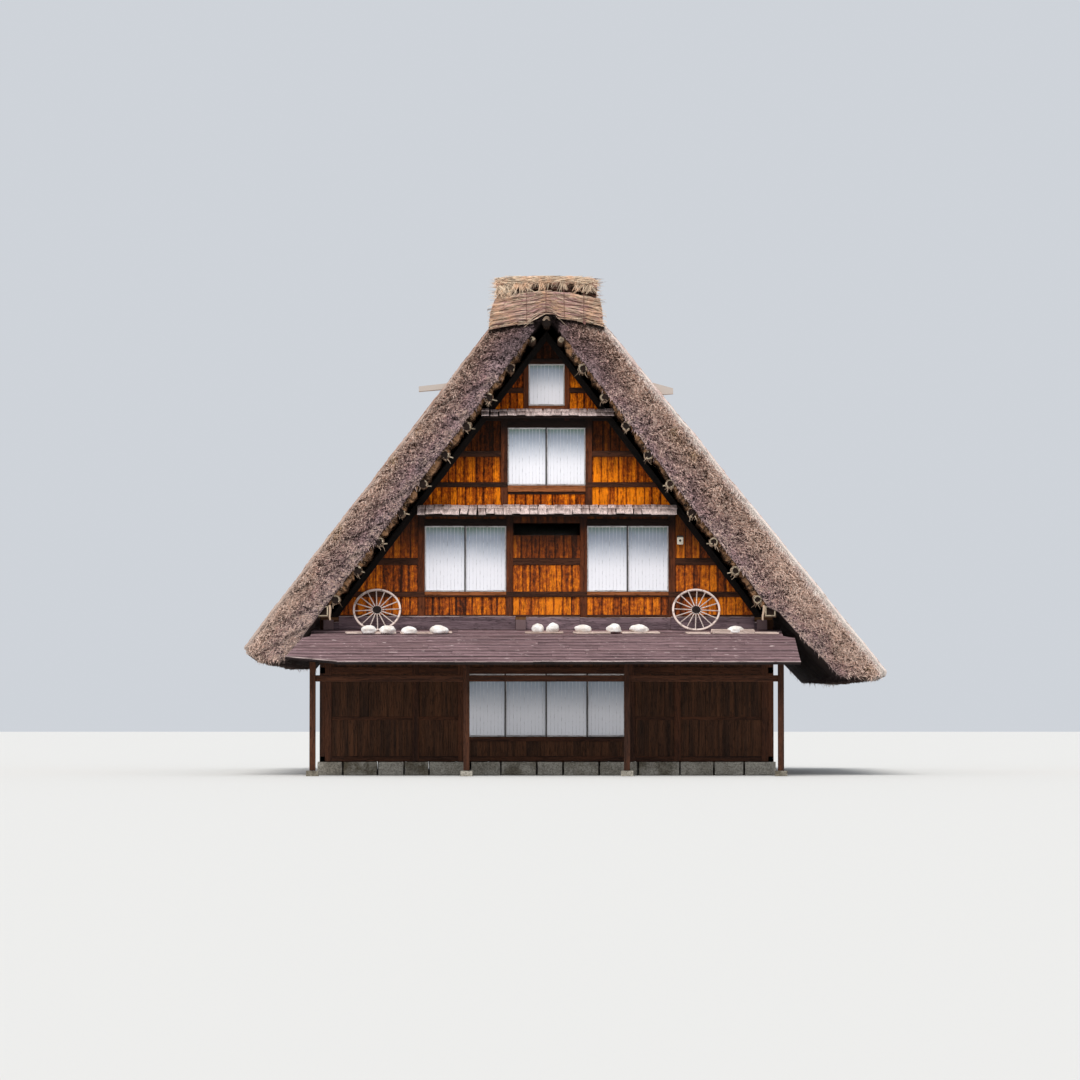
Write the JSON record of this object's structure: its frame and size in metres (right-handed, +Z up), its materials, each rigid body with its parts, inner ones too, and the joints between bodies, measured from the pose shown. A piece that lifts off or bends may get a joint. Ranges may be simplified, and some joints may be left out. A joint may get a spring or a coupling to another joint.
{
  "type": "thatched farmhouse",
  "caption": "Steep-roofed thatched farmhouse with an open boarded gable, paper screens, small shake roofs, a straw ridge cap and low lean-to roofs.",
  "frame": {"origin": "middle of the plan at ground level", "axes": "+Z up, -Y out of the front gable, +X to the front's right-hand side, the ridge along Y"},
  "size_m": [14.18, 17.8406, 11.034],
  "materials": {
    "stone": "rough split stone",
    "pale_stone": "pale river stone and weathered board",
    "old_wood": "smoke-dark timber",
    "board_wood": "warm brown vertical boards",
    "floor_wood": "planed floor boards",
    "pale_wood": "sun-greyed pale timber",
    "shake": "split wooden shakes",
    "sheet_metal": "faded brown-purple painted sheet",
    "screen": "white paper on a thin lattice",
    "thatch": "cut ends of weathered reed thatch",
    "straw": "combed straw bundles",
    "lamp_white": "cream lamp case"
  },
  "bodies": {
    "root": {"stone_footing": "stone", "ground_floor": "floor_wood", "front_ground_wall": "old_wood", "front_ground_screens": "screen", "front_gable_wall": "board_wood", "front_left_screens": "screen", "front_right_screens": "screen", "front_middle_screens": "screen", "front_top_screen": "screen", "front_lower_small_roof": "shake", "front_upper_small_roof": "shake", "front_lean_to_roof": "sheet_metal", "front_lean_to_frame": "old_wood", "back_ground_wall": "old_wood", "back_ground_screens": "screen", "back_gable_wall": "board_wood", "back_left_screens": "screen", "back_right_screens": "screen", "back_middle_screens": "screen", "back_top_screen": "screen", "back_lower_small_roof": "shake", "back_upper_small_roof": "shake", "back_lean_to_roof": "sheet_metal", "back_lean_to_frame": "old_wood", "left_ground_wall": "old_wood", "left_ground_screens": "screen", "right_wall_front": "old_wood", "right_wall_back": "old_wood", "right_wall_over_door": "old_wood", "entrance_doors": "old_wood", "attic_beams": "old_wood", "attic_floor_lower": "floor_wood", "attic_floor_middle": "floor_wood", "attic_floor_upper": "floor_wood", "left_roof_frame": "old_wood", "left_eave_beam": "old_wood", "left_thatch": "thatch", "right_roof_frame": "old_wood", "right_eave_beam": "old_wood", "right_thatch": "thatch", "ridge_pole": "pale_wood", "ridge_cap": "straw", "left_slope_ledge": "pale_wood", "right_slope_ledge": "pale_wood", "left_cart_wheel": "pale_wood", "right_cart_wheel": "pale_wood", "left_weighted_boards": "pale_stone", "middle_weighted_boards": "pale_stone", "right_weighted_boards": "pale_stone", "lamp_box": "lamp_white"}
  },
  "joints": []
}
